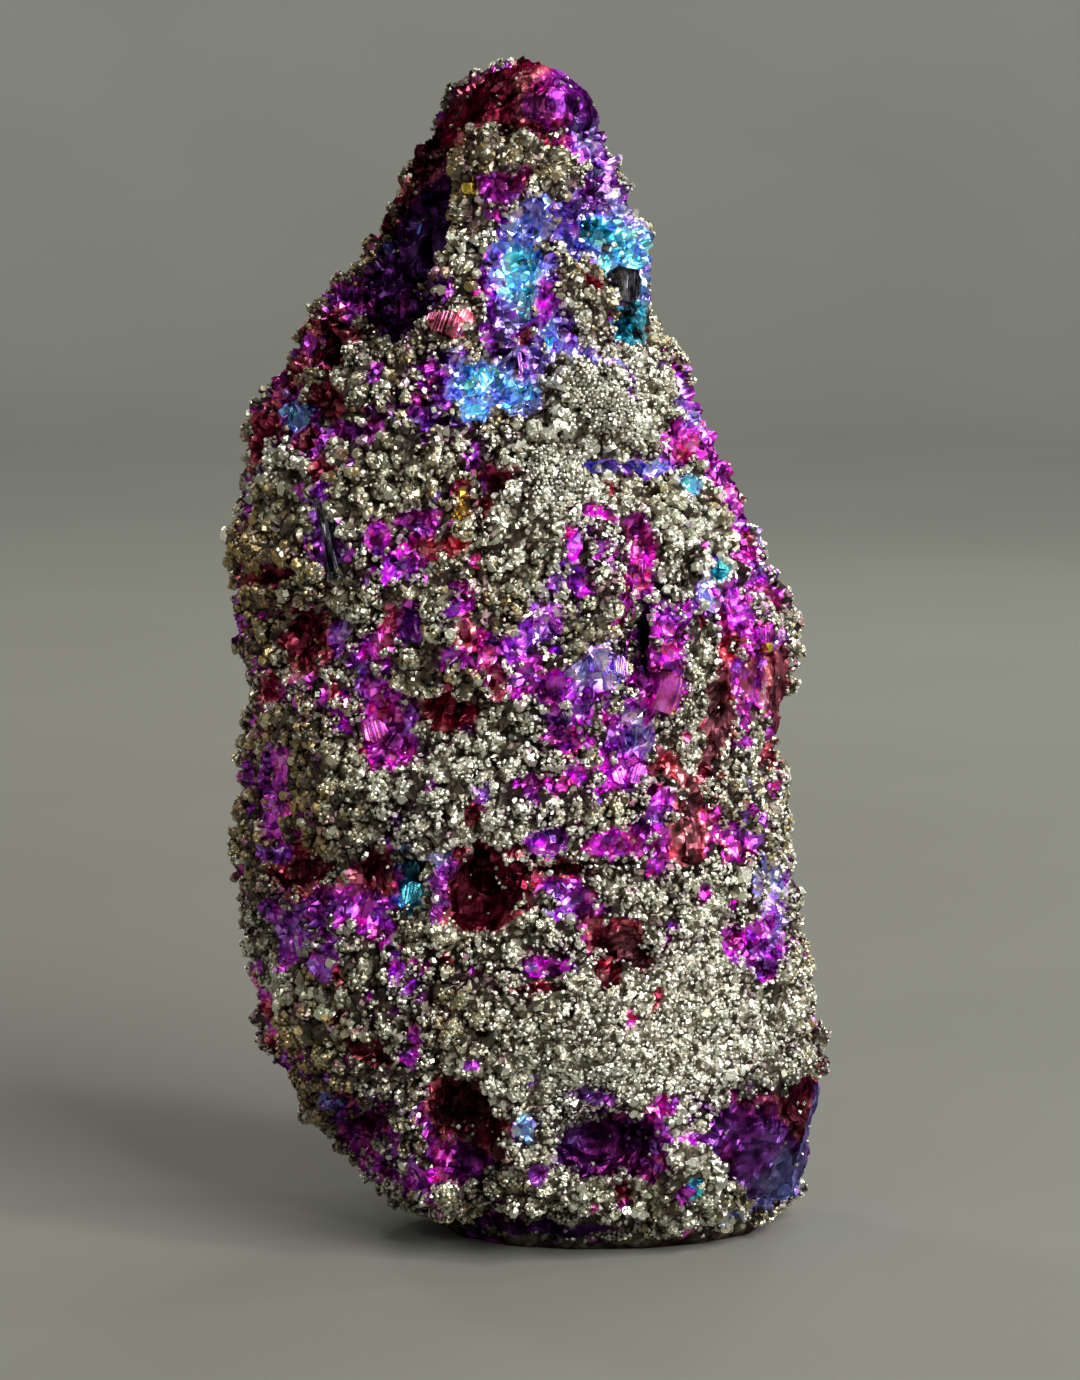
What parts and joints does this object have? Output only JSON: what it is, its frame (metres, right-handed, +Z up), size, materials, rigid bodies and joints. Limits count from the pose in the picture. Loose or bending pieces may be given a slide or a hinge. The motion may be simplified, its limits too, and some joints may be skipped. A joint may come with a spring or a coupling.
{
  "type": "peacock ore specimen",
  "caption": "Upright horn-shaped stone of rainbow-tarnished copper ore with a crust of fine pale pyrite, standing on a small flat foot.",
  "frame": {"origin": "on the plane of the flat foot, under the middle of the stone's overall box", "axes": "+Z up from the foot to the horn, the front of the stone faces -Y, +X to the right seen from the front"},
  "size_m": [0.0278, 0.0224, 0.0545],
  "materials": {
    "tarnished_ore": "metallic rainbow tarnish from crimson and magenta to violet, azure and teal",
    "pyrite": "bright pale brassy grains",
    "quartz": "clear, glassy"
  },
  "bodies": {
    "root": {"peacock_ore": "tarnished_ore"}
  },
  "joints": []
}
